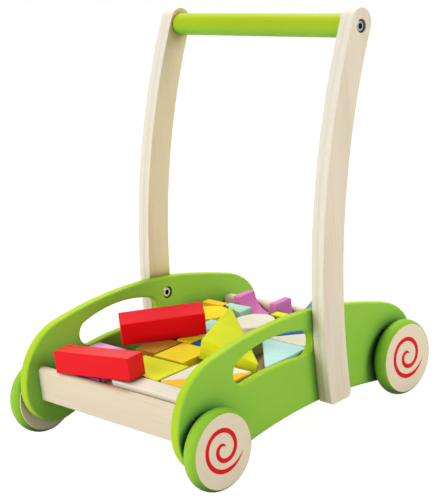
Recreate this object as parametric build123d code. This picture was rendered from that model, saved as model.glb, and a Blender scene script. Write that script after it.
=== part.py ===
from build123d import *
import os
from math import asin, cos, degrees, hypot, radians, sin, sqrt

# Baby walker: a wooden push cart with a tray of loose toy blocks. Millimetres.
# The origin is on the ground under the middle of the cart, +Z is up and the front is -Y.
# Left is +X. Panel and upright outlines are drawn in the YZ plane as (y, z) points.
# Turns, slopes and the uprights' flare are in degrees.

# Tray and side panels
TRAY_WIDTH = 241.0
PANEL_T = 12.0
PANEL_ROUND = 3.0
FRONT_LOBE = (-146.3, 63.6)
FRONT_LOBE_R = 47.1
FRONT_CROWN_R = 72.1
FRONT_CROWN_TURN = 180.5
TOP_R = 539.2
TOP_PEAK_Y = -34.9
BEND_R = 208.3
SLOPE_R = 1014.1
SLOPE_END_TURN = 72.2
REAR_CROWN_R = 72.8
REAR_CROWN_TURN = 43.0
REAR_LOBE = (147.8, 61.6)
REAR_LOBE_R = 44.2
BELLY_R = 602.4

# Hand hole in each panel
HAND_FRONT = (-90.3, 107.3)
HAND_REAR = (4.5, 106.2)
HAND_END_R = 14.9
HAND_TOP_R = 166.0
HAND_BOTTOM_R = 329.4

# Uprights and handle
UPRIGHT_T = 18.0
UPRIGHT_WIDTH = 32.0
UPRIGHT_FLARE = 0.22
UPRIGHT_BOW = (837.0, 82.8)
UPRIGHT_R = 800.0
UPRIGHT_FOOT = 31.5
UPRIGHT_TOP = 455.8
UPRIGHT_CORNER = 6.0
UPRIGHT_ROUND = 1.0
HANDLE_R = 12.95
HANDLE_DROP = 19.4
HANDLE_CHAMFER = 0.8

# End boards and floor
BOARD_T = 12.0
BOARD_HEIGHT = 40.3
BOARD_TOP_ROUND = 5.0
BOARD_BOTTOM_ROUND = 2.0
FRONT_BOARD_Y = -166.4
FRONT_BOARD_TOP = 89.8
REAR_BOARD_Y = 139.5
REAR_BOARD_TOP = 87.3
FLOOR_T = 6.0
FLOOR_TOP = 65.8
FLOOR_GROOVE = 4.0
FLOOR_PLAY = 0.2

# Bolts, threaded inserts and barrel nuts
BOLT_R = 3.0
BOLT_PLAY = 0.3
HEAD_R = 6.4
HEAD_H = 5.0
HEAD_PLAY = 1.1
HEAD_SINK = 1.5
HEAD_ROUND = 1.2
SOCKET_ACROSS = 6.0
SOCKET_DEPTH = 3.0
INSERT_R = 4.75
HANDLE_INSERT_L = 15.0
UPRIGHT_INSERT_L = 12.0
UPRIGHT_BOLT_Z = (50.8, 118.8)
BOARD_BOLT_DROP = (15.0, 33.0)
NUT_R = 4.5
NUT_L = 10.0
NUT_INSET = 25.0
NUT_SINK = 0.5
BOLT_OVERRUN = 5.0
BOLT_END_GAP = 1.0

# Wheels and axles
FRONT_AXLE_Y = -153.0
REAR_AXLE_Y = 154.6
AXLE_R = 4.0
AXLE_PLAY = 0.05
WHEEL_R = 44.7
WHEEL_T = 18.0
DISC_R = 40.4
DISC_CHAMFER = 0.8
TYRE_EDGE = 0.4
WHEEL_GAP = 4.5
WHEEL_WEB = 5.5
BUSH_R = 6.0
FLANGE_R = 9.0
FLANGE_T = 2.0
SIDE_PLAY = 0.5
SPACER_R = 8.0

# Toy blocks, in a unit that lets ten of them cross the tray
TRAY_UNITS_LONG = 12.19
BLOCK_T_UNITS = 1.175
BLOCK_ROUND = 1.2
BLOCK_LIFT = 0.2
REST_GAP = 0.4

PANEL_IN = TRAY_WIDTH / 2
PANEL_OUT = PANEL_IN + PANEL_T
UPRIGHT_OUT = PANEL_OUT + UPRIGHT_T
WHEEL_IN = PANEL_OUT + WHEEL_GAP
WHEEL_OUT = WHEEL_IN + WHEEL_T
AXLE_END = WHEEL_OUT - WHEEL_WEB
TRAY_FRONT = FRONT_BOARD_Y + BOARD_T / 2
TRAY_REAR = REAR_BOARD_Y - BOARD_T / 2
UNIT = min(TRAY_WIDTH / 10, (TRAY_REAR - TRAY_FRONT) / TRAY_UNITS_LONG)
BLOCK_T = BLOCK_T_UNITS * UNIT
LAYER_TOP = FLOOR_TOP + BLOCK_LIFT + BLOCK_T
COUNTERBORE = HEAD_H + HEAD_SINK
BOARDS = ((FRONT_BOARD_Y, FRONT_BOARD_TOP, 1), (REAR_BOARD_Y, REAR_BOARD_TOP, -1))
CENTRE_LOW = (Align.CENTER, Align.CENTER, Align.MIN)
CENTRE_HIGH = (Align.CENTER, Align.CENTER, Align.MAX)


# Plane geometry

def polar(centre, radius, turn):
    """Point at an angle in degrees on a circle."""
    return (centre[0] + radius * cos(radians(turn)), centre[1] + radius * sin(radians(turn)))


def toward(start, target, distance):
    """Point at a distance from start on the way to target."""
    span = hypot(target[0] - start[0], target[1] - start[1])
    share = distance / span
    return (start[0] + (target[0] - start[0]) * share, start[1] + (target[1] - start[1]) * share)


def meet(a, ra, b, rb, side):
    """Where two circles cross; side 1 is left of the way from a to b, -1 is right."""
    span = hypot(b[0] - a[0], b[1] - a[1])
    along = (span ** 2 + ra ** 2 - rb ** 2) / (2 * span)
    across = side * sqrt(ra ** 2 - along ** 2)
    ux, uy = (b[0] - a[0]) / span, (b[1] - a[1]) / span
    return (a[0] + along * ux - across * uy, a[1] + along * uy + across * ux)


def arc(centre, start, end):
    """The shorter arc about centre from start to end."""
    radius = hypot(start[0] - centre[0], start[1] - centre[1])
    middle = toward(centre, ((start[0] + end[0]) / 2, (start[1] + end[1]) / 2), radius)
    return ThreePointArc(start, middle, end)


def slab(edges, x_low, x_high):
    """A YZ outline given thickness along X."""
    return Pos(x_low, 0, 0) * extrude(Plane.YZ * make_face(edges), x_high - x_low)


def rod(radius, x_low, x_high, y, z):
    """A round bar along X."""
    return Pos((x_low + x_high) / 2, y, z) * Rot(0, 90, 0) * Cylinder(radius, x_high - x_low)


def both_sides(shape):
    """A left-hand shape with its right-hand mirror image."""
    return [shape, mirror(shape, about=Plane.YZ)]


# Hardware

def bolt(seat, y, z, out, length):
    """Hex-socket bolt along X; its head points along out (1 or -1) from the seat."""
    head = Cylinder(HEAD_R, HEAD_H, align=CENTRE_LOW)
    head = fillet(head.edges().group_by(Axis.Z)[-1], HEAD_ROUND)
    hexagon = RegularPolygon(SOCKET_ACROSS / sqrt(3), 6)
    head -= Pos(0, 0, HEAD_H - SOCKET_DEPTH) * extrude(hexagon, SOCKET_DEPTH)
    shank = Cylinder(BOLT_R, length, align=CENTRE_HIGH)
    return Pos(seat, y, z) * Rot(0, 90 * out, 0) * (head + shank)


def bolt_hole(seat, y, z, out, length):
    """Clearance hole and counterbore for a bolt."""
    hole = Cylinder(BOLT_R + BOLT_PLAY, length, align=CENTRE_HIGH)
    hole += Cylinder(HEAD_R + HEAD_PLAY, COUNTERBORE, align=CENTRE_LOW)
    return Pos(seat, y, z) * Rot(0, 90 * out, 0) * hole


def upright_line(z):
    """Y of the bowed upright's centre line at a height."""
    return UPRIGHT_BOW[0] - sqrt(UPRIGHT_R ** 2 - (z - UPRIGHT_BOW[1]) ** 2)


# Side panels

def panel_outline():
    """Eight tangent arcs: lobes and crowns at the ends, top, bend, slope and hollow belly."""
    crown_f = polar(FRONT_LOBE, FRONT_CROWN_R - FRONT_LOBE_R, FRONT_CROWN_TURN + 180)
    crown_r = polar(REAR_LOBE, REAR_CROWN_R - REAR_LOBE_R, REAR_CROWN_TURN + 180)
    reach = sqrt((TOP_R - FRONT_CROWN_R) ** 2 - (TOP_PEAK_Y - crown_f[0]) ** 2)
    top = (TOP_PEAK_Y, crown_f[1] - reach)
    slope = polar(crown_r, SLOPE_R - REAR_CROWN_R, SLOPE_END_TURN + 180)
    bend = meet(top, TOP_R - BEND_R, slope, SLOPE_R - BEND_R, -1)
    belly = meet(FRONT_LOBE, BELLY_R + FRONT_LOBE_R, REAR_LOBE, BELLY_R + REAR_LOBE_R, -1)
    lobe_f_low = toward(FRONT_LOBE, belly, FRONT_LOBE_R)
    lobe_f_end = polar(FRONT_LOBE, FRONT_LOBE_R, FRONT_CROWN_TURN)
    crown_f_end = toward(top, crown_f, TOP_R)
    top_end = toward(top, bend, TOP_R)
    bend_end = toward(slope, bend, SLOPE_R)
    slope_end = polar(crown_r, REAR_CROWN_R, SLOPE_END_TURN)
    crown_r_end = polar(REAR_LOBE, REAR_LOBE_R, REAR_CROWN_TURN)
    lobe_r_low = toward(REAR_LOBE, belly, REAR_LOBE_R)
    return [
        arc(FRONT_LOBE, lobe_f_low, lobe_f_end),
        arc(crown_f, lobe_f_end, crown_f_end),
        arc(top, crown_f_end, top_end),
        arc(bend, top_end, bend_end),
        arc(slope, bend_end, slope_end),
        arc(crown_r, slope_end, crown_r_end),
        arc(REAR_LOBE, crown_r_end, lobe_r_low),
        arc(belly, lobe_r_low, lobe_f_low),
    ]


def hand_hole():
    """Bean-shaped hole: two round ends, an arched top and an arched bottom."""
    top = meet(HAND_FRONT, HAND_TOP_R - HAND_END_R, HAND_REAR, HAND_TOP_R - HAND_END_R, -1)
    low = meet(HAND_FRONT, HAND_BOTTOM_R + HAND_END_R, HAND_REAR, HAND_BOTTOM_R + HAND_END_R, -1)
    front_top = toward(top, HAND_FRONT, HAND_TOP_R)
    rear_top = toward(top, HAND_REAR, HAND_TOP_R)
    front_low = toward(HAND_FRONT, low, HAND_END_R)
    rear_low = toward(HAND_REAR, low, HAND_END_R)
    return [
        arc(top, front_top, rear_top),
        arc(HAND_REAR, rear_top, rear_low),
        arc(low, rear_low, front_low),
        arc(HAND_FRONT, front_low, front_top),
    ]


def make_panel():
    panel = slab(panel_outline(), PANEL_IN, PANEL_OUT)
    panel -= slab(hand_hole(), PANEL_IN, PANEL_OUT)
    faces = panel.edges().group_by(Axis.X)
    panel = fillet(faces[0] + faces[-1], PANEL_ROUND)
    for y in (FRONT_AXLE_Y, REAR_AXLE_Y):
        panel -= rod(BUSH_R, PANEL_IN, PANEL_OUT, y, WHEEL_R)
    for z in UPRIGHT_BOLT_Z:
        panel -= bolt_hole(PANEL_IN + COUNTERBORE, upright_line(z), z, -1, PANEL_T)
    for y, top, _ in BOARDS:
        for drop in BOARD_BOLT_DROP:
            panel -= bolt_hole(PANEL_OUT - COUNTERBORE, y, top - drop, 1, PANEL_T)
    groove = Box(FLOOR_GROOVE, TRAY_REAR - TRAY_FRONT, FLOOR_T)
    middle = (TRAY_FRONT + TRAY_REAR) / 2
    panel -= Pos(PANEL_IN + FLOOR_GROOVE / 2, middle, FLOOR_TOP - FLOOR_T / 2) * groove
    return panel


# Uprights and handle

def foot_point(bow, radius):
    """Where a long edge of the upright, drawn about bow, comes down to the foot."""
    return polar(bow, radius, 180 + degrees(asin((bow[1] - UPRIGHT_FOOT) / radius)))


def make_upright():
    """Bowed bar with a round top; its two long edges part a little toward the foot."""
    half = UPRIGHT_WIDTH / 2
    cap_turn = 180 - degrees(asin((UPRIGHT_TOP - half - UPRIGHT_BOW[1]) / UPRIGHT_R))
    front_turn = cap_turn - UPRIGHT_FLARE
    rear_turn = cap_turn + UPRIGHT_FLARE
    cap = polar(UPRIGHT_BOW, UPRIGHT_R, cap_turn)
    front_bow = polar(cap, UPRIGHT_R, front_turn + 180)
    rear_bow = polar(cap, UPRIGHT_R, rear_turn + 180)
    front_cap = polar(front_bow, UPRIGHT_R + half, front_turn)
    rear_cap = polar(rear_bow, UPRIGHT_R - half, rear_turn)
    front_foot = foot_point(front_bow, UPRIGHT_R + half)
    rear_foot = foot_point(rear_bow, UPRIGHT_R - half)
    upright = slab([
        arc(front_bow, front_foot, front_cap),
        ThreePointArc(front_cap, polar(cap, half, cap_turn - 90), rear_cap),
        arc(rear_bow, rear_cap, rear_foot),
        Line(rear_foot, front_foot),
    ], PANEL_OUT, UPRIGHT_OUT)
    upright = fillet(upright.edges().filter_by(Axis.X).group_by(Axis.Z)[0], UPRIGHT_CORNER)
    faces = upright.edges().group_by(Axis.X)
    upright = fillet(faces[0] + faces[-1], UPRIGHT_ROUND)
    for z in UPRIGHT_BOLT_Z:
        upright -= rod(INSERT_R, PANEL_OUT, PANEL_OUT + UPRIGHT_INSERT_L, upright_line(z), z)
    return upright - bolt_hole(UPRIGHT_OUT - COUNTERBORE, HANDLE_Y, HANDLE_Z, 1, UPRIGHT_T)


HANDLE_Z = UPRIGHT_TOP - HANDLE_DROP
HANDLE_Y = upright_line(HANDLE_Z)
HANDLE_BOLT_L = UPRIGHT_T - COUNTERBORE + HANDLE_INSERT_L - BOLT_END_GAP


def make_handle():
    bar = rod(HANDLE_R, -PANEL_OUT, PANEL_OUT, HANDLE_Y, HANDLE_Z)
    ends = bar.edges().group_by(Axis.X)
    bar = chamfer(ends[0] + ends[-1], HANDLE_CHAMFER)
    for socket in both_sides(rod(INSERT_R, PANEL_OUT - HANDLE_INSERT_L, PANEL_OUT, HANDLE_Y, HANDLE_Z)):
        bar -= socket
    return bar


def make_insert(length, x_low, y, z):
    return rod(INSERT_R, x_low, x_low + length, y, z) - rod(BOLT_R, x_low, x_low + length, y, z)


# End boards, barrel nuts and floor

NUT_X = PANEL_IN - NUT_INSET
BOARD_BOLT_END = NUT_X - BOLT_OVERRUN


def make_board(y, top, inward):
    board = Pos(0, y, top - BOARD_HEIGHT / 2) * Box(TRAY_WIDTH, BOARD_T, BOARD_HEIGHT)
    levels = board.edges().filter_by(Axis.X).group_by(Axis.Z)
    board = fillet(levels[-1], BOARD_TOP_ROUND)
    levels = board.edges().filter_by(Axis.X).group_by(Axis.Z)
    board = fillet(levels[0], BOARD_BOTTOM_ROUND)
    for drop in BOARD_BOLT_DROP:
        for hole in both_sides(rod(BOLT_R + BOLT_PLAY, BOARD_BOLT_END, PANEL_IN, y, top - drop)):
            board -= hole
        for hole in both_sides(nut_body(y, top - drop, inward, NUT_L + NUT_SINK)):
            board -= hole
    return board


def nut_body(y, z, inward, reach):
    """Round bar along Y that ends at the board's inner face, reach long."""
    middle = y + inward * (BOARD_T - NUT_L - NUT_SINK) / 2
    shift = inward * (reach - NUT_L - NUT_SINK) / 2
    return Pos(NUT_X, middle + shift, z) * Rot(90, 0, 0) * Cylinder(NUT_R, reach)


def make_nut(y, z, inward):
    nut = nut_body(y, z, inward, NUT_L)
    return nut - rod(BOLT_R, NUT_X - NUT_R, NUT_X + NUT_R, y, z)


def make_floor():
    width = TRAY_WIDTH + 2 * FLOOR_GROOVE - 2 * FLOOR_PLAY
    middle = (TRAY_FRONT + TRAY_REAR) / 2
    return Pos(0, middle, FLOOR_TOP - FLOOR_T / 2) * Box(width, TRAY_REAR - TRAY_FRONT, FLOOR_T)


# Wheelsets

def make_bush(y):
    bush = rod(BUSH_R, PANEL_IN, PANEL_OUT, y, WHEEL_R)
    bush += rod(FLANGE_R, PANEL_OUT, PANEL_OUT + FLANGE_T, y, WHEEL_R)
    return bush - rod(AXLE_R + AXLE_PLAY, PANEL_IN, PANEL_OUT + FLANGE_T, y, WHEEL_R)


def make_disc(y):
    """Wooden disc with a chamfer at the back and a blind hole for the axle."""
    disc = rod(DISC_R, WHEEL_IN, WHEEL_OUT, y, WHEEL_R)
    disc = chamfer(disc.edges().group_by(Axis.X)[0], DISC_CHAMFER)
    return disc - rod(AXLE_R, WHEEL_IN, AXLE_END, y, WHEEL_R)


def make_tyre(y):
    """Rubber ring pushed on to the disc, its tread crowned by one arc from edge to edge."""
    start = WHEEL_IN + DISC_CHAMFER
    middle = (start + WHEEL_OUT) / 2
    section = make_face([
        Line((start, DISC_R), (WHEEL_OUT, DISC_R)),
        Line((WHEEL_OUT, DISC_R), (WHEEL_OUT, DISC_R + TYRE_EDGE)),
        ThreePointArc((WHEEL_OUT, DISC_R + TYRE_EDGE), (middle, WHEEL_R), (start, DISC_R + TYRE_EDGE)),
        Line((start, DISC_R + TYRE_EDGE), (start, DISC_R)),
    ])
    return Pos(0, y, WHEEL_R) * revolve(section, Axis.X)


def make_spacer(y):
    start = PANEL_OUT + FLANGE_T + SIDE_PLAY
    return rod(SPACER_R, start, WHEEL_IN, y, WHEEL_R) - rod(AXLE_R, start, WHEEL_IN, y, WHEEL_R)


# Toy blocks: x in units from the middle of the tray, y in units from the front board

def tray_y(units):
    return TRAY_FRONT + units * UNIT


def eased(block):
    return fillet(block.edges(), BLOCK_ROUND)


def box_block(x, y, length, depth, lift=BLOCK_LIFT, height=BLOCK_T):
    """Brick with its low corner at x, y."""
    brick = Box(length * UNIT, depth * UNIT, height, align=(Align.MIN, Align.MIN, Align.MIN))
    return Pos(x * UNIT, tray_y(y), FLOOR_TOP + lift) * eased(brick)


def flat_block(points, lift=BLOCK_LIFT, height=BLOCK_T):
    """Straight-sided block lying flat, from its corner points in units."""
    corners = [(x * UNIT, tray_y(y)) for x, y in points]
    return Pos(0, 0, FLOOR_TOP + lift) * eased(extrude(make_face(Polyline(*corners, close=True)), height))


def corner_block(x, y, leg):
    """Flat right-angled block: the square corner at x, y, legs toward -X and -Y."""
    return flat_block([(x - leg, y), (x, y - leg), (x, y)])


def disc_block(x, y, radius):
    return Pos(x * UNIT, tray_y(y), FLOOR_TOP + BLOCK_LIFT) * eased(
        Cylinder(radius * UNIT, BLOCK_T, align=CENTRE_LOW))


def bridge_block(x, y, length, horn):
    """Bridge lying on its back, so the round arch opens upward."""
    span = length * UNIT
    height = span / 2
    brick = Box(span, BLOCK_T, height, align=CENTRE_LOW)
    brick -= Pos(0, 0, height) * Rot(90, 0, 0) * Cylinder(height - horn * UNIT, BLOCK_T)
    place = Pos(x * UNIT + span / 2, tray_y(y) + BLOCK_T / 2, FLOOR_TOP + BLOCK_LIFT)
    return place * eased(brick)


def triangle_block(leg):
    """Right-angled block: the square corner at the origin, legs along X and Y, top face at Z 0."""
    face = make_face(Polyline((0, 0), (leg, 0), (0, leg), close=True))
    return eased(extrude(face, -BLOCK_T))


def standing_triangle(x, y, leg):
    """Right-angled block standing on its long side, thickness along Y."""
    place = Pos(x * UNIT + leg * UNIT / sqrt(2), tray_y(y), FLOOR_TOP + BLOCK_LIFT + leg * UNIT / sqrt(2))
    return place * Rot(90, 0, 0) * Rot(0, 0, -135) * triangle_block(leg * UNIT)


def bar_block(x, y, yaw, pitch, roll, length, side, rest):
    """Square bar lying turned on the blocks below, tipped and rolled, its lowest corner at rest."""
    section = side * UNIT
    rise = section / 2 * (cos(radians(roll)) + abs(sin(radians(roll)))) * cos(radians(pitch))
    rise += length * UNIT / 2 * abs(sin(radians(pitch)))
    bar = eased(Box(length * UNIT, section, section))
    place = Pos(x * UNIT, tray_y(y), rest + rise)
    return place * Rot(0, 0, yaw) * Rot(0, pitch, 0) * Rot(roll, 0, 0) * bar


def leaning_triangle(x, y, leg, down_turn, down_slope, up_turn, up_slope):
    """Right-angled block leaning over the packing, its far corner down on the floor."""
    run = Vector(cos(radians(down_turn)), sin(radians(down_turn)), 0) * cos(radians(down_slope))
    run = run - Vector(0, 0, sin(radians(down_slope)))
    rise = Vector(cos(radians(up_turn)), sin(radians(up_turn)), 0) * cos(radians(up_slope))
    rise = rise + Vector(0, 0, sin(radians(up_slope)))
    normal = run.cross(rise).normalized()
    drop = leg * UNIT * sin(radians(down_slope)) + BLOCK_T * normal.Z
    corner = Vector(x * UNIT, tray_y(y), FLOOR_TOP + REST_GAP + drop)
    return Plane(origin=corner, x_dir=run, z_dir=normal).location * triangle_block(leg * UNIT)


ROW_2 = 1.09
ROW_3 = 3.25
ROW_4 = 5.35
ROW_LAST = 10.91
PAIR = (1.86, 1.06)
PAIR_REAR = (2.19, 7.72)
FRONT_REST = max(FRONT_BOARD_TOP, LAYER_TOP - 0.175 * UNIT)


def triangle_pair(low, leg, split=0.03):
    """Two flat right-angled blocks that fill a square, with a slit along its diagonal."""
    x, y = low
    rear = [(x, y + split), (x + leg - split, y + leg), (x, y + leg)]
    front = [(x + split, y), (x + leg, y), (x + leg, y + leg - split)]
    return flat_block(rear), flat_block(front)


PAIR_FRONT_BLOCKS = triangle_pair(PAIR, 3)
PAIR_REAR_BLOCKS = triangle_pair(PAIR_REAR, 2.58)

BLOCKS = {
    "block_magenta": flat_block([(-3.05, 0.03), (-1.05, 0.03), (-2.05, 1.03)], lift=0, height=UNIT),
    "block_plank": box_block(-0.2, 0.03, 5.1, 1, lift=0),
    "block_lilac": box_block(-4.72, ROW_2 + 0.08, 2, 2),
    "block_lime_slab": box_block(-1.27, ROW_2, 3, 2, lift=0),
    "block_cream_triangle": PAIR_FRONT_BLOCKS[0],
    "block_orange_triangle": PAIR_FRONT_BLOCKS[1],
    "block_amber": box_block(-2.45, 3.5, 1.43, 1.75, lift=0),
    "block_golden": box_block(-0.88, ROW_3, 2, 2, lift=0),
    "block_straw": box_block(-1.5, ROW_4, 1, 1, lift=0),
    "block_blue_cube": box_block(-0.41, ROW_4, 1, 1),
    "block_post": box_block(-2.9, 5.3, 1, 1, lift=0, height=1.23 * UNIT),
    "block_mint": box_block(-2.115, 6.39, 1, 2, lift=0),
    "block_yellow_disc": disc_block(-3.03, 9.02, 1.08),
    "block_orange_slat": box_block(-4.6, 10.14, 1.45, 0.5),
    "block_mint_wedge": flat_block([(-3.1, 10.38), (-1.54, 9.8), (-1.54, 10.74), (-3.1, 10.74)]),
    "block_cream_disc": disc_block(0.02, 9.19, 1.08),
    "block_bridge": bridge_block(-3, ROW_LAST, 3, 0.44),
    "block_lime_slat": box_block(0.1, 10.36, 1.6, 0.5),
    "block_sky_triangle": standing_triangle(0.36, ROW_LAST, 3),
    "block_aqua": corner_block(4.97, 7.67, 2.94),
    "block_blue_corner": PAIR_REAR_BLOCKS[0],
    "block_cream_corner": PAIR_REAR_BLOCKS[1],
    "block_green_slat": box_block(0.87, 6.35, 0.5, 2, lift=0),
    "block_red_front": bar_block(-1.366, 0.353, 8.75, -2.98, -1.35, 4.58, 1.09, FRONT_REST),
    "block_red_middle": bar_block(-2.246, 5.231, 52.2, 0, 13.4, 4.12, 1.2, LAYER_TOP),
    "block_lime_triangle": leaning_triangle(1.73, 4.04, 3, 20.6, 21.5, 105.4, 13.4),
}

# Assembly

NODES = dict(BLOCKS)
for name, side in zip(("left", "right"), both_sides(make_panel())):
    NODES["side_panel_" + name] = side
for name, side in zip(("left", "right"), both_sides(make_upright())):
    NODES["upright_" + name] = side
NODES["handle_bar"] = make_handle()
NODES["front_board"] = make_board(*BOARDS[0])
NODES["rear_board"] = make_board(*BOARDS[1])
NODES["tray_floor"] = make_floor()

handle_bolts = both_sides(bolt(UPRIGHT_OUT - COUNTERBORE, HANDLE_Y, HANDLE_Z, 1, HANDLE_BOLT_L))
handle_inserts = both_sides(
    make_insert(HANDLE_INSERT_L, PANEL_OUT - HANDLE_INSERT_L, HANDLE_Y, HANDLE_Z))
upright_bolts = []
upright_inserts = []
for z in UPRIGHT_BOLT_Z:
    length = PANEL_T - COUNTERBORE + UPRIGHT_INSERT_L - BOLT_END_GAP
    upright_bolts += both_sides(bolt(PANEL_IN + COUNTERBORE, upright_line(z), z, -1, length))
    upright_inserts += both_sides(make_insert(UPRIGHT_INSERT_L, PANEL_OUT, upright_line(z), z))
board_bolts = []
barrel_nuts = []
for y, top, inward in BOARDS:
    for drop in BOARD_BOLT_DROP:
        seat = PANEL_OUT - COUNTERBORE
        board_bolts += both_sides(bolt(seat, y, top - drop, 1, seat - BOARD_BOLT_END))
        barrel_nuts += both_sides(make_nut(y, top - drop, inward))
bushes = both_sides(make_bush(FRONT_AXLE_Y)) + both_sides(make_bush(REAR_AXLE_Y))
NODES["handle_bolts"] = Compound(children=handle_bolts)
NODES["handle_inserts"] = Compound(children=handle_inserts)
NODES["upright_bolts"] = Compound(children=upright_bolts)
NODES["upright_inserts"] = Compound(children=upright_inserts)
NODES["board_bolts"] = Compound(children=board_bolts)
NODES["barrel_nuts"] = Compound(children=barrel_nuts)
NODES["axle_bushes"] = Compound(children=bushes)

for end, y in (("front", FRONT_AXLE_Y), ("rear", REAR_AXLE_Y)):
    NODES["axle_" + end] = rod(AXLE_R, -AXLE_END, AXLE_END, y, WHEEL_R)
    NODES["spacers_" + end] = Compound(children=both_sides(make_spacer(y)))
    for name, disc in zip(("left", "right"), both_sides(make_disc(y))):
        NODES["wheel_" + end + "_" + name] = disc
    for name, tyre in zip(("left", "right"), both_sides(make_tyre(y))):
        NODES["tyre_" + end + "_" + name] = tyre

os.makedirs("parts", exist_ok=True)
for name, shape in NODES.items():
    export_step(shape, os.path.join("parts", name + ".step"))
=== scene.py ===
import math

import bpy
import numpy as np
from mathutils import Matrix, Vector


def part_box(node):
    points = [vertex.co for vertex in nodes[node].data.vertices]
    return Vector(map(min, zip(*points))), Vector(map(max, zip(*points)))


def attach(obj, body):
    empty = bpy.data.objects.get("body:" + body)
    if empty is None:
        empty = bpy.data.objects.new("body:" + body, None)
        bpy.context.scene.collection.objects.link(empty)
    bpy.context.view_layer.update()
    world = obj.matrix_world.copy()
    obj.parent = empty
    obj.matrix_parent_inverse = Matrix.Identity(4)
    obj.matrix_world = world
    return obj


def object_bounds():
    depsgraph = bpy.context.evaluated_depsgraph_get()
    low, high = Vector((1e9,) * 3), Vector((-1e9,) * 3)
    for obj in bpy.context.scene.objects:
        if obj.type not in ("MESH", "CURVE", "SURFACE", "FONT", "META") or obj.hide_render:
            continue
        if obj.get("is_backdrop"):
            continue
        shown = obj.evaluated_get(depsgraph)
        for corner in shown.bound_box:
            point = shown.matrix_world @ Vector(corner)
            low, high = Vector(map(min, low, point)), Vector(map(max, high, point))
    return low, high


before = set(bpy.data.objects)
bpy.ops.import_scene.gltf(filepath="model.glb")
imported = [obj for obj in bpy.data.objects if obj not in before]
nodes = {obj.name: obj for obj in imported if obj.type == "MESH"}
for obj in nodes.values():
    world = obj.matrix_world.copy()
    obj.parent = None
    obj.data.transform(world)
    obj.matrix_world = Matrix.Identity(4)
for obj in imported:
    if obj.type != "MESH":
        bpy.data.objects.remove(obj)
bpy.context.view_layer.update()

MM = 0.001

# Viewpoint: fitted camera, angles in degrees, place in metres, pixels of a 439 x 500 image
IMAGE_WIDTH = 439
IMAGE_HEIGHT = 500
CAMERA_FOCUS = 1395.277
CAMERA_AZIMUTH = 47.658
CAMERA_ELEVATION = 17.261
CAMERA_ROLL = 6.463
CAMERA_PLACE = (1.122416, -1.049062, 0.630688)
CAMERA_CENTRE = (195.0, 290.0)
SENSOR = 36.0

# Wheel print, in millimetres and degrees, seen from outside the wheel
PRINT_CENTRE = (1.0, 1.9)
PRINT_TURNS = (46, 90, 135, 180, 225, 270, 315, 360, 405, 450, 480, 510, 540, 570, 615, 660, 690, 700)
PRINT_RADII = (
    3.3, 5.2, 7.6, 9.7, 10.8, 12.2, 14.5, 16.6, 18.4,
    21.3, 23.6, 24.9, 24.7, 23.8, 23.3, 24.7, 26.9, 28.4)
PRINT_EASE = 24
PRINT_GROW = 150
PRINT_FALL = 80
PRINT_STROKE = 5.0
PRINT_TIP = 0.12
PRINT_RISE = 0.12
PRINT_SINK = 0.05
PRINT_STEPS = 260


def paint(red, green, blue):
    """Linear colour of an sRGB colour given as 0 to 255."""
    share = np.array((red, green, blue)) / 255
    linear = np.where(share <= 0.04045, share / 12.92, ((share + 0.055) / 1.055) ** 2.4)
    return tuple(linear)


def tone(colour, share):
    """Colour made darker (share below 1) or lighter (above 1), held below white."""
    return tuple(min(c * share, 0.95) for c in colour)


WHITE = (1, 1, 1)
BLACK = (0, 0, 0)

# Painted shade in gaps and corners, multiplied into the colour: the share of open sky, and what the
# colour is multiplied by there
PLAIN_SHADE = ((0.0, (0.30, 0.29, 0.27)), (0.4, (0.76, 0.75, 0.73)), (0.8, WHITE))
# Birch: painted shade tinted olive, for the uprights' feet against the green panels
BIRCH_SHADE = (
    (0.0, (0.26, 0.25, 0.20)), (0.5, (0.54, 0.47, 0.26)), (0.8, (0.88, 0.84, 0.70)), (1.0, WHITE))
# Green paint: painted shade with a cool blue-green tint, deepest in the gaps by the wheels
GREEN_SHADE = (
    (0.0, (0.02, 0.02, 0.03)), (0.2, (0.08, 0.09, 0.12)), (0.42, (0.34, 0.54, 0.95)),
    (0.7, (0.76, 0.89, 1.0)), (0.92, WHITE))
# Steel: near black painted shade in bolt sockets and counterbores
STEEL_SHADE = (
    (0.0, (0.02, 0.02, 0.02)), (0.5, (0.06, 0.06, 0.06)), (0.75, (0.85, 0.85, 0.85)), (0.9, WHITE))
# Handle bolts: milder painted shade in the socket, kept light where glints show
SOCKET_SHADE = ((0.0, (0.25, 0.26, 0.28)), (0.5, (0.42, 0.43, 0.45)), (0.9, WHITE))

WOOD_SHINE = 0.12
PAINT_SHINE = 0.08


# Finishes

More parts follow.
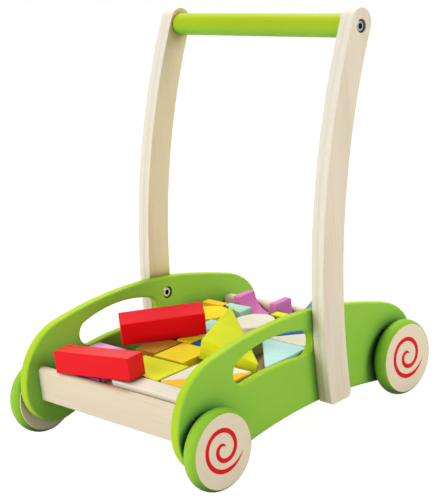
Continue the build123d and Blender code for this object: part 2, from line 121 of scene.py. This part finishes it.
class Finish:
    """A material being put together from nodes, with the piece's own coordinates at hand."""

    def __init__(self, name):
        self.material = bpy.data.materials.new(name)
        self.material.use_nodes = True
        self.tree = self.material.node_tree
        self.shader = self.tree.nodes["Principled BSDF"]
        self.place = self.add("ShaderNodeTexCoord").outputs["Object"]

    def add(self, kind, sockets=(), **settings):
        """Adds one node. A socket given another node's output is linked, any other is set."""
        made = self.tree.nodes.new(kind)
        for key, value in settings.items():
            setattr(made, key, value)
        for key, value in dict(sockets).items():
            self.fill(made.inputs[key], value)
        return made

    def fill(self, socket, value):
        if isinstance(value, bpy.types.NodeSocket):
            self.tree.links.new(value, socket)
        elif socket.type == "RGBA":
            socket.default_value = (*value, 1.0)
        else:
            socket.default_value = value

    def surface(self, **sockets):
        """Sets or links the surface shader's sockets, with spaces written as underscores."""
        for key, value in sockets.items():
            self.fill(self.shader.inputs[key.replace("_", " ")], value)

    def lay(self, turn, size):
        """Coordinates counted in grain lengths: X runs along the grain, turned by Euler degrees."""
        angles = tuple(math.radians(t) for t in turn)
        sockets = {"Vector": self.place, "Rotation": angles, "Scale": size}
        return self.add("ShaderNodeMapping", sockets, vector_type="TEXTURE").outputs["Vector"]

    def noise(self, vector, scale=1.0, detail=3.0, rough=0.5):
        sockets = {"Vector": vector, "Scale": scale, "Detail": detail, "Roughness": rough}
        return self.add("ShaderNodeTexNoise", sockets).outputs["Fac"]

    def ramp(self, share, *stops):
        """Colour ramp through (position, colour) stops."""
        made = self.add("ShaderNodeValToRGB", {"Fac": share})
        points = made.color_ramp.elements
        while len(points) < len(stops):
            points.new(1.0)
        for point, (position, colour) in zip(points, stops):
            point.position = position
            point.color = (*colour, 1.0)
        return made.outputs["Color"]

    def mix(self, share, first, second, how="MIX"):
        sockets = {"Fac": share, "Color1": first, "Color2": second}
        return self.add("ShaderNodeMixRGB", sockets, blend_type=how).outputs["Color"]

    def math(self, how, first, second=0.0):
        made = self.add("ShaderNodeMath", operation=how)
        self.fill(made.inputs[0], first)
        self.fill(made.inputs[1], second)
        return made.outputs["Value"]

    def spread(self, share, low, high):
        """Noise value between 0.3 and 0.7 carried onto low to high."""
        sockets = {"Value": share, "From Min": 0.3, "From Max": 0.7, "To Min": low, "To Max": high}
        return self.add("ShaderNodeMapRange", sockets).outputs["Result"]

    def facing(self, axis):
        """The surface normal's part along one axis of the piece, -1 to 1."""
        normal = self.add("ShaderNodeNewGeometry").outputs["Normal"]
        ways = {"vector_type": "NORMAL", "convert_from": "WORLD", "convert_to": "OBJECT"}
        turned = self.add("ShaderNodeVectorTransform", {"Vector": normal}, **ways).outputs["Vector"]
        return self.add("ShaderNodeSeparateXYZ", {"Vector": turned}).outputs[axis]

    def shade(self, colour, reach=0.02, stops=PLAIN_SHADE):
        """Colour darkened by painted shade in gaps and corners, by the share of the open sky within
        reach.
        """
        open_sky = self.add("ShaderNodeAmbientOcclusion", {"Distance": reach}, samples=8).outputs["AO"]
        return self.mix(1.0, colour, self.ramp(open_sky, *stops), "MULTIPLY")

    def bump(self, height, depth, strength=1.0, under=None):
        sockets = {"Height": height, "Distance": depth, "Strength": strength}
        if under is not None:
            sockets["Normal"] = under
        return self.add("ShaderNodeBump", sockets).outputs["Normal"]


def grain_of(finish, turn):
    """Fibre streaks, slow drift and short pores of one piece of wood, each as a noise value."""
    streaks = finish.noise(finish.lay(turn, (0.10, 0.0026, 0.0026)), detail=4, rough=0.6)
    drift = finish.noise(finish.lay(turn, (0.22, 0.024, 0.024)), detail=2)
    pores = finish.noise(finish.lay(turn, (0.011, 0.0008, 0.0008)), detail=1)
    return streaks, drift, pores


def grained(finish, ground, streaks, pores, depth):
    """Ground colour with pale fibre streaks and short dark pores, stronger with depth."""
    fibres = finish.ramp(streaks, (0.33, (0.89, 0.82, 0.72)), (0.52, WHITE), (0.75, (1, 1, 0.985)))
    wood = finish.mix(0.7 * depth, ground, fibres, "MULTIPLY")
    flecks = finish.ramp(pores, (0.25, (0.80, 0.70, 0.58)), (0.36, WHITE))
    return finish.mix(0.55 * depth, wood, flecks, "MULTIPLY")


def bare_wood(name, colour, turn, depth=1.0):
    """Clear lacquered wood: colour drifts slowly, fine streaks and short dark pores along the grain;
    painted shade in gaps and corners.
    """
    finish = Finish(name)
    streaks, drift, pores = grain_of(finish, turn)
    dark = tone(colour, 1 - 0.08 * depth)
    pale = tone(colour, 1 + 0.05 * depth)
    ground = finish.ramp(drift, (0.32, dark), (0.5, colour), (0.7, pale))
    finish.surface(
        Base_Color=finish.shade(grained(finish, ground, streaks, pores, depth)),
        Roughness=finish.spread(streaks, 0.48, 0.62),
        Normal=finish.bump(streaks, 0.0002, 0.3, finish.bump(pores, 0.0001, 0.25)),
        Specular_IOR_Level=WOOD_SHINE,
    )
    return finish.material


def plywood(name, face, edge, turn, start, layer):
    """Birch plywood: bare wood whose layers show on the cut edges as bands with thin glue lines.

    The layer number is the whole part of (distance across the sheet - start) / layer, with a slight
    wander, and each number has its own tone; the glue line is the first slice of each layer. The bands
    are strongest at the foot and fade towards the top. Gaps and corners, such as the foot against the
    panel, get painted shade tinted olive.
    """
    finish = Finish(name)
    streaks, drift, pores = grain_of(finish, turn)
    place = finish.add("ShaderNodeSeparateXYZ", {"Vector": finish.place})
    across = finish.math("ABSOLUTE", place.outputs["X"])
    wander = finish.noise(finish.lay(turn, (0.09, 0.012, 0.012)), detail=2)
    count = finish.math("DIVIDE", finish.math("SUBTRACT", across, start), layer)
    count = finish.math("ADD", count, finish.math("MULTIPLY", wander, 0.45))
    number = finish.math("FLOOR", count)
    share = finish.math("FRACT", count)
    toss = finish.add("ShaderNodeTexWhiteNoise", {"W": number}, noise_dimensions="1D").outputs["Value"]
    band = finish.ramp(toss, (0.1, tone(edge, 0.92)), (0.5, edge), (0.8, tone(edge, 0.80)), (1.0, edge))
    glue = finish.ramp(
        share, (0.0, (0.70, 0.63, 0.52)), (0.13, WHITE), (0.92, WHITE), (1.0, (0.86, 0.81, 0.73)))
    heights = {"From Min": 0.05, "From Max": 0.35, "To Min": 1.0, "To Max": 0.4}
    fade = finish.add("ShaderNodeMapRange", {"Value": place.outputs["Z"], **heights})
    strength = fade.outputs["Result"]
    layers = finish.mix(strength, edge, finish.mix(1.0, band, glue, "MULTIPLY"))
    sheet = finish.ramp(drift, (0.32, tone(face, 0.95)), (0.5, face), (0.7, tone(face, 1.03)))
    on_face = finish.ramp(finish.math("ABSOLUTE", finish.facing("X")), (0.80, BLACK), (0.97, WHITE))
    wood = grained(finish, finish.mix(on_face, layers, sheet), streaks, pores, 0.45)
    finish.surface(
        Base_Color=finish.shade(wood, 0.022, BIRCH_SHADE),
        Roughness=finish.spread(streaks, 0.5, 0.64),
        Normal=finish.bump(streaks, 0.0002, 0.25, finish.bump(share, 0.00005, 0.2)),
        Specular_IOR_Level=WOOD_SHINE,
    )
    return finish.material


def satin_green(name, flat, rim, turn, axis, low, high):
    """Satin paint: slow colour drift, faint grain showing through and fine orange peel.

    The colour turns from rim to flat as the surface normal along the axis goes from low to high;
    this is painted light: the side that faces the lamps gets the lighter, yellower colour.
    Gaps and corners get painted shade with a cool tint.
    """
    finish = Finish(name)
    streaks, drift, _ = grain_of(finish, turn)
    peel = finish.noise(finish.place, 620.0, 2)
    cloud = finish.noise(finish.place, 14.0, 3)
    normal = finish.facing(axis)
    if low >= 0:
        normal = finish.math("ABSOLUTE", normal)
    sockets = {"Value": normal, "From Min": low, "From Max": high}
    turned = finish.add("ShaderNodeMapRange", sockets, interpolation_type="SMOOTHSTEP").outputs["Result"]
    green = finish.mix(turned, rim, flat)
    drifted = finish.ramp(cloud, (0.3, (0.955, 0.965, 0.95)), (0.6, WHITE))
    fibres = finish.ramp(streaks, (0.3, (0.95, 0.965, 0.94)), (0.55, WHITE))
    green = finish.mix(1.0, green, drifted, "MULTIPLY")
    finish.surface(
        Base_Color=finish.shade(finish.mix(0.6, green, fibres, "MULTIPLY"), 0.045, GREEN_SHADE),
        Roughness=finish.spread(drift, 0.40, 0.52),
        Normal=finish.bump(streaks, 0.0001, 0.25, finish.bump(peel, 0.00004, 0.3)),
        Specular_IOR_Level=PAINT_SHINE,
    )
    return finish.material


def stained_wood(name, colour, turn, gloss=0.0):
    """Coloured stain on wood: the grain drinks more colour, so the streaks are deeper; painted shade in
    gaps and corners.
    """
    finish = Finish(name)
    streaks, drift, pores = grain_of(finish, turn)
    ground = finish.ramp(drift, (0.32, tone(colour, 0.94)), (0.5, colour), (0.7, tone(colour, 1.04)))
    deep = tone(colour, 0.86)
    soaked = finish.ramp(streaks, (0.34, (0.28, 0.28, 0.28)), (0.52, BLACK))
    wood = finish.mix(soaked, ground, deep)
    flecks = finish.ramp(pores, (0.24, (0.91, 0.90, 0.88)), (0.35, WHITE))
    finish.surface(
        Base_Color=finish.shade(finish.mix(0.5, wood, flecks, "MULTIPLY")),
        Roughness=finish.spread(streaks, 0.52 - 0.26 * gloss, 0.66 - 0.32 * gloss),
        Normal=finish.bump(streaks, 0.00015, 0.25, finish.bump(pores, 0.00008, 0.2)),
        Specular_IOR_Level=WOOD_SHINE + 0.06 * gloss,
    )
    return finish.material


def plated_steel(name, colour, dull, stops=STEEL_SHADE):
    """Zinc-plated steel: mottled brightness, fine turning marks and uneven gloss; painted shade in
    sockets and recesses.
    """
    finish = Finish(name)
    mottle = finish.noise(finish.place, 900.0, 3)
    marks = finish.noise(finish.lay((0, 0, 0), (0.00012, 0.004, 0.004)), detail=2)
    zinc = finish.ramp(mottle, (0.3, tone(colour, 0.82)), (0.7, tone(colour, 1.1)))
    finish.surface(
        Base_Color=finish.shade(zinc, 0.006, stops),
        Roughness=finish.spread(mottle, dull - 0.08, dull + 0.1),
        Normal=finish.bump(marks, 0.00002, 0.5),
        Metallic=1.0,
    )
    return finish.material


def moulded(name, colour, dull):
    """Moulded plastic or rubber: even colour with slight clouding and a fine matt skin; painted shade in
    gaps and corners.
    """
    finish = Finish(name)
    cloud = finish.noise(finish.place, 60.0, 3)
    skin = finish.noise(finish.place, 1500.0, 2)
    clouded = finish.ramp(cloud, (0.3, tone(colour, 0.94)), (0.7, tone(colour, 1.05)))
    finish.surface(
        Base_Color=finish.shade(clouded),
        Roughness=finish.spread(cloud, dull - 0.05, dull + 0.07),
        Normal=finish.bump(skin, 0.00003, 0.4),
        Specular_IOR_Level=0.12,
    )
    return finish.material


def dress(material, *names):
    """Puts one finish on CAD nodes."""
    for name in names:
        for slot in nodes[name].material_slots:
            slot.material = material


ALONG_X = (0, 0, 0)
ALONG_Y = (0, 0, 90)
ALONG_Z = (0, 90, 0)

# Colours that face the camera's right side are written for the weaker light there
SIDE_LIGHT = 0.73
GREEN_FLAT = tone(paint(139, 186, 62), 1 / SIDE_LIGHT)
# Green of rounded rims, lighter and yellower: painted highlight where the top and front lamps fall
GREEN_RIM_LIT = paint(182, 214, 42)
# Tread green: lighter on the crown, darker on the shoulders by the faces: painted light and shade
TREAD_LIT = paint(154, 202, 58)
TREAD_SHADED = paint(146, 198, 52)
BIRCH_FACES = {
    "left": tone(paint(216, 203, 180), 1 / SIDE_LIGHT),
    "right": tone(paint(220, 202, 167), 1 / SIDE_LIGHT),
}
BIRCH_EDGE = paint(248, 241, 224)
BOARD = paint(228, 213, 187)
REAR_BOARD = paint(229, 212, 182)
WHEEL = tone(paint(216, 202, 175), 1 / SIDE_LIGHT)
PLY_START = 0.1325
PLY_LAYER = 0.0026
BOARD_GRAIN = 0.35
WHEEL_GRAIN = 0.25

for side in ("left", "right"):
    panel = satin_green("green_panel_" + side, GREEN_FLAT, GREEN_RIM_LIT, ALONG_Y, "X", 0.3, 0.95)
    dress(panel, "side_panel_" + side)
    ply = plywood("birch_ply_" + side, BIRCH_FACES[side], BIRCH_EDGE, ALONG_Z, PLY_START, PLY_LAYER)
    dress(ply, "upright_" + side)
    for end in ("front", "rear"):
        corner = end + "_" + side
        dress(bare_wood("wheel_wood_" + corner, WHEEL, ALONG_Y, WHEEL_GRAIN), "wheel_" + corner)
        tread = satin_green("tread_" + corner, TREAD_SHADED, TREAD_LIT, ALONG_Y, "X", 0.05, 0.7)
        dress(tread, "tyre_" + corner)
# Handle: yellower paint on top, greener underneath: painted light from above
handle = satin_green("green_handle", paint(184, 204, 30), paint(148, 200, 54), ALONG_X, "Z", -0.6, 0.7)
dress(handle, "handle_bar")
dress(bare_wood("board_wood_front", BOARD, ALONG_X, BOARD_GRAIN), "front_board")
dress(bare_wood("board_wood_rear", REAR_BOARD, ALONG_X, BOARD_GRAIN), "rear_board")
# Tray floor: natural wood a little darkened, painted shade for the gap seen under the middle red bar
dress(bare_wood("floor_wood", paint(190, 160, 114), ALONG_Y), "tray_floor")
dress(plated_steel("plated_steel", (0.74, 0.75, 0.77), 0.2), "upright_bolts", "board_bolts")
dress(plated_steel("axle_steel", (0.36, 0.37, 0.39), 0.3), "axle_front", "axle_rear")
# Handle bolts: the plated steel made darker, a painted dark reflection, with milder painted shade in the
# socket
dress(plated_steel("handle_bolt_steel", (0.34, 0.36, 0.40), 0.22, SOCKET_SHADE), "handle_bolts")
plain_zinc = plated_steel("plain_zinc", (0.5, 0.5, 0.5), 0.4)
dress(plain_zinc, "handle_inserts", "upright_inserts", "barrel_nuts")
dress(moulded("bush_nylon", (0.75, 0.73, 0.68), 0.5), "axle_bushes")
dress(moulded("spacer_nylon", (0.55, 0.54, 0.5), 0.5), "spacers_front", "spacers_rear")

RED = paint(232, 8, 24)
LIME = paint(227, 231, 31)
GOLDEN = paint(250, 220, 38)
ORANGE = paint(253, 194, 34)
MINT = paint(190, 230, 222)
CREAM = paint(238, 230, 212)
BLUE = paint(0, 88, 163)

STAINS = {
    "block_magenta": (paint(222, 104, 184), ALONG_X),
    "block_lilac": (paint(232, 172, 224), ALONG_X),
    "block_lime_slab": (LIME, ALONG_X),
    "block_orange_triangle": (ORANGE, (0, 0, 45)),
    # Amber: a golden-orange stain, darkened further as painted shade under the middle red bar
    "block_amber": (paint(186, 132, 46), ALONG_Y),
    "block_golden": (GOLDEN, ALONG_X),
    "block_straw": (GOLDEN, ALONG_Y),
    "block_blue_cube": (BLUE, ALONG_X),
    "block_mint": (MINT, ALONG_Y),
    "block_yellow_disc": (paint(240, 210, 35), ALONG_Y),
    "block_orange_slat": (ORANGE, ALONG_X),
    "block_mint_wedge": (paint(172, 218, 196), ALONG_X),
    "block_bridge": (paint(217, 125, 184), ALONG_X),
    "block_lime_slat": (LIME, ALONG_X),
    "block_sky_triangle": (paint(124, 178, 220), (0, 45, 0)),
    "block_aqua": (paint(196, 236, 232), ALONG_X),
    "block_blue_corner": (BLUE, (0, 0, 45)),
    # Green slat: colour raised well above its shaded olive, painted light for its deep slot
    "block_green_slat": (paint(206, 224, 120), ALONG_X),
    "block_lime_triangle": (LIME, (13.4, 21.5, 20.6)),
    "block_red_middle": (RED, (13.4, 0, 52.2)),
}
GLOSSY_BLOCKS = {
    "block_red_front": (RED, (-1.35, -2.98, 8.75)),
}
PLAIN_BLOCKS = {
    "block_plank": (CREAM, ALONG_X),
    "block_cream_triangle": (CREAM, (0, 0, 45)),
    # Post: a hidden support block darkened to brown, painted shade for the dark gap under the red bar's
    # left end
    "block_post": (paint(150, 116, 70), ALONG_Z),
    "block_cream_disc": (paint(231, 223, 205), ALONG_X),
    "block_cream_corner": (CREAM, (0, 0, 45)),
}
BLOCK_GLOSS = 0.9
BLOCK_GRAIN = 0.5

for name, (colour, turn) in STAINS.items():
    dress(stained_wood("stain_" + name, colour, turn), name)
for name, (colour, turn) in GLOSSY_BLOCKS.items():
    dress(stained_wood("stain_" + name, colour, turn, BLOCK_GLOSS), name)
for name, (colour, turn) in PLAIN_BLOCKS.items():
    dress(bare_wood("wood_" + name, colour, turn, BLOCK_GRAIN), name)


# Wheel prints

def print_mesh(name, x, y, z, outward):
    """Spiral stroke on a wheel face.

    Its centre line has the radius given at a few turns, eased between them by a running mean, about
    a centre just off the hub. Across the line the profile is a low hump closed underneath. The width
    grows from a point at the inner tip and falls to a point at the outer tip.
    """
    fine = np.linspace(PRINT_TURNS[0], PRINT_TURNS[-1], PRINT_STEPS)
    window = fine[:, None] + np.linspace(-PRINT_EASE, PRINT_EASE, 25)
    within = np.interp(window, PRINT_TURNS, PRINT_RADII)
    start_slope = (PRINT_RADII[1] - PRINT_RADII[0]) / (PRINT_TURNS[1] - PRINT_TURNS[0])
    end_slope = (PRINT_RADII[-1] - PRINT_RADII[-2]) / (PRINT_TURNS[-1] - PRINT_TURNS[-2])
    before = np.minimum(window - PRINT_TURNS[0], 0) * start_slope
    after = np.maximum(window - PRINT_TURNS[-1], 0) * end_slope
    radius = (within + before + after).mean(1)
    angle = np.radians(fine)
    line = np.array(PRINT_CENTRE) + radius[:, None] * np.stack([np.cos(angle), np.sin(angle)], 1)
    along = np.gradient(line, axis=0)
    along /= np.linalg.norm(along, axis=1)[:, None]
    side = np.stack([-along[:, 1], along[:, 0]], 1)
    grow = np.clip((fine - fine[0]) / PRINT_GROW, 0, 1)
    fall = np.clip((fine[-1] - fine) / PRINT_FALL, 0, 1)
    swell = np.sin(grow * np.pi / 2) ** 0.8 * np.sin(fall * np.pi / 2) ** 0.9
    half = PRINT_STROKE / 2 * swell + PRINT_TIP
    across = np.array([-1.0, -0.93, -0.5, 0.5, 0.93, 1.0, 0.6, -0.6])
    height = np.array([0.0, 0.85, 1.0, 1.0, 0.85, 0.0, 0.0, 0.0]) * PRINT_RISE
    height[[0, 5, 6, 7]] = -PRINT_SINK
    flat = line[:, None, :] + side[:, None, :] * (half[:, None] * across)[:, :, None]
    points = np.empty((PRINT_STEPS, len(across), 3))
    points[:, :, 0] = x + outward * height * MM
    points[:, :, 1] = y + outward * flat[:, :, 0] * MM
    points[:, :, 2] = z + flat[:, :, 1] * MM
    count = len(across)
    rows = np.arange(PRINT_STEPS - 1)[:, None] * count
    here = np.arange(count)
    there = (here + 1) % count
    quads = np.stack([rows + here, rows + there, rows + count + there, rows + count + here], 2)
    tips = [list(range(count))[::-1], list(range((PRINT_STEPS - 1) * count, PRINT_STEPS * count))]
    mesh = bpy.data.meshes.new(name)
    mesh.from_pydata(points.reshape(-1, 3).tolist(), [], quads.reshape(-1, 4).tolist() + tips)
    mesh.update()
    return mesh


print_paint = moulded("print_red", tone(paint(206, 18, 32), 1 / SIDE_LIGHT), 0.6)
for end in ("front", "rear"):
    for side, outward in (("left", 1), ("right", -1)):
        low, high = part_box("wheel_" + end + "_" + side)
        face = high.x if outward > 0 else low.x
        hub = (low + high) / 2
        mesh = print_mesh("print_" + end + "_" + side, face, hub.y, hub.z, outward)
        spiral = bpy.data.objects.new(mesh.name, mesh)
        bpy.context.scene.collection.objects.link(spiral)
        mesh.materials.append(print_paint)
        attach(spiral, end + "_wheels")


# Stage

FLOOR_BOUNCE = 0.6
FLOOR_WHITE = 0.86
FLOOR_GLOW = 1.12


def seen_ray(tree):
    """1 for rays from the camera, from glossy surfaces and through glass, else 0."""
    path = tree.nodes.new("ShaderNodeLightPath")
    total = path.outputs["Is Camera Ray"]
    for other in ("Is Glossy Ray", "Is Transmission Ray"):
        larger = tree.nodes.new("ShaderNodeMath")
        larger.operation = "MAXIMUM"
        tree.links.new(total, larger.inputs[0])
        tree.links.new(path.outputs[other], larger.inputs[1])
        total = larger.outputs["Value"]
    return total


def white_floor():
    """Large floor: mostly plain white to the camera, the rest matt, so a faint shadow stays.

    For light that bounces off it the floor is a pale grey.
    """
    half = 12.0
    corners = [(-half, -half, 0), (half, -half, 0), (half, half, 0), (-half, half, 0)]
    mesh = bpy.data.meshes.new("floor")
    mesh.from_pydata(corners, [], [(0, 1, 2, 3)])
    floor = bpy.data.objects.new("floor", mesh)
    bpy.context.scene.collection.objects.link(floor)
    floor.location.z = -0.0004
    material = bpy.data.materials.new("pale_floor")
    material.use_nodes = True
    tree = material.node_tree
    tree.nodes.remove(tree.nodes["Principled BSDF"])
    seen = seen_ray(tree)
    grey = tree.nodes.new("ShaderNodeMapRange")
    grey.inputs["To Min"].default_value = FLOOR_BOUNCE
    grey.inputs["To Max"].default_value = 0.95
    tree.links.new(seen, grey.inputs["Value"])
    matt = tree.nodes.new("ShaderNodeBsdfDiffuse")
    tree.links.new(grey.outputs["Result"], matt.inputs["Color"])
    glow = tree.nodes.new("ShaderNodeEmission")
    glow.inputs["Strength"].default_value = FLOOR_GLOW
    share = tree.nodes.new("ShaderNodeMath")
    share.operation = "MULTIPLY"
    share.inputs[1].default_value = FLOOR_WHITE
    tree.links.new(seen, share.inputs[0])
    mixed = tree.nodes.new("ShaderNodeMixShader")
    tree.links.new(share.outputs["Value"], mixed.inputs[0])
    tree.links.new(matt.outputs["BSDF"], mixed.inputs[1])
    tree.links.new(glow.outputs["Emission"], mixed.inputs[2])
    tree.links.new(mixed.outputs["Shader"], tree.nodes["Material Output"].inputs["Surface"])
    mesh.materials.append(material)
    floor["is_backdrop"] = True


WORLD_LIGHT = 0.24


def white_world():
    world = bpy.data.worlds.new("studio")
    bpy.context.scene.world = world
    world.use_nodes = True
    tree = world.node_tree
    back = tree.nodes["Background"]
    back.inputs["Color"].default_value = (1, 1, 1, 1)
    strength = tree.nodes.new("ShaderNodeMapRange")
    strength.inputs["To Min"].default_value = WORLD_LIGHT
    strength.inputs["To Max"].default_value = 1.0
    tree.links.new(seen_ray(tree), strength.inputs["Value"])
    tree.links.new(strength.outputs["Result"], back.inputs["Strength"])


# Lamps, all aimed at the middle of the cart: place in metres, size across, power in watts
LAMP_AIM = (0, 0, 0.15)
LAMPS = {
    "top": ((-0.7, 0.8, 1.8), 0.9, 27),
    "front": ((-0.2, -2.0, 0.9), 1.4, 31),
    "right": ((2.0, 0.8, 1.0), 1.2, 21),
}


def soft_box(name, place, size, power):
    data = bpy.data.lights.new(name, "AREA")
    data.shape = "DISK"
    data.size = size
    data.energy = power
    lamp = bpy.data.objects.new(name, data)
    lamp.location = place
    lamp.rotation_euler = (Vector(LAMP_AIM) - Vector(place)).to_track_quat("-Z", "Y").to_euler()
    bpy.context.scene.collection.objects.link(lamp)


def set_camera():
    """Camera with axes from azimuth, elevation and roll: X right, Y up, Z back from the view."""
    azimuth = math.radians(CAMERA_AZIMUTH)
    elevation = math.radians(CAMERA_ELEVATION)
    roll = math.radians(CAMERA_ROLL)
    reach = math.cos(elevation)
    ahead = Vector((-math.sin(azimuth) * reach, math.cos(azimuth) * reach, -math.sin(elevation)))
    level = Vector((math.cos(azimuth), math.sin(azimuth), 0))
    down = ahead.cross(level)
    right = level * math.cos(roll) + down * math.sin(roll)
    up = level * math.sin(roll) - down * math.cos(roll)
    data = bpy.data.cameras.new("camera")
    data.sensor_width = SENSOR
    data.lens = CAMERA_FOCUS / IMAGE_HEIGHT * SENSOR
    data.shift_x = (IMAGE_WIDTH / 2 - CAMERA_CENTRE[0]) / IMAGE_HEIGHT
    data.shift_y = (CAMERA_CENTRE[1] - IMAGE_HEIGHT / 2) / IMAGE_HEIGHT
    camera = bpy.data.objects.new("camera", data)
    bpy.context.scene.collection.objects.link(camera)
    turned = Matrix((right, up, -ahead)).transposed().to_4x4()
    camera.matrix_world = Matrix.Translation(CAMERA_PLACE) @ turned
    bpy.context.scene.camera = camera


white_floor()
white_world()
for name, (place, size, power) in LAMPS.items():
    soft_box(name, place, size, power)
set_camera()
bpy.context.scene.view_settings.view_transform = "Standard"

low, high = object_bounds()
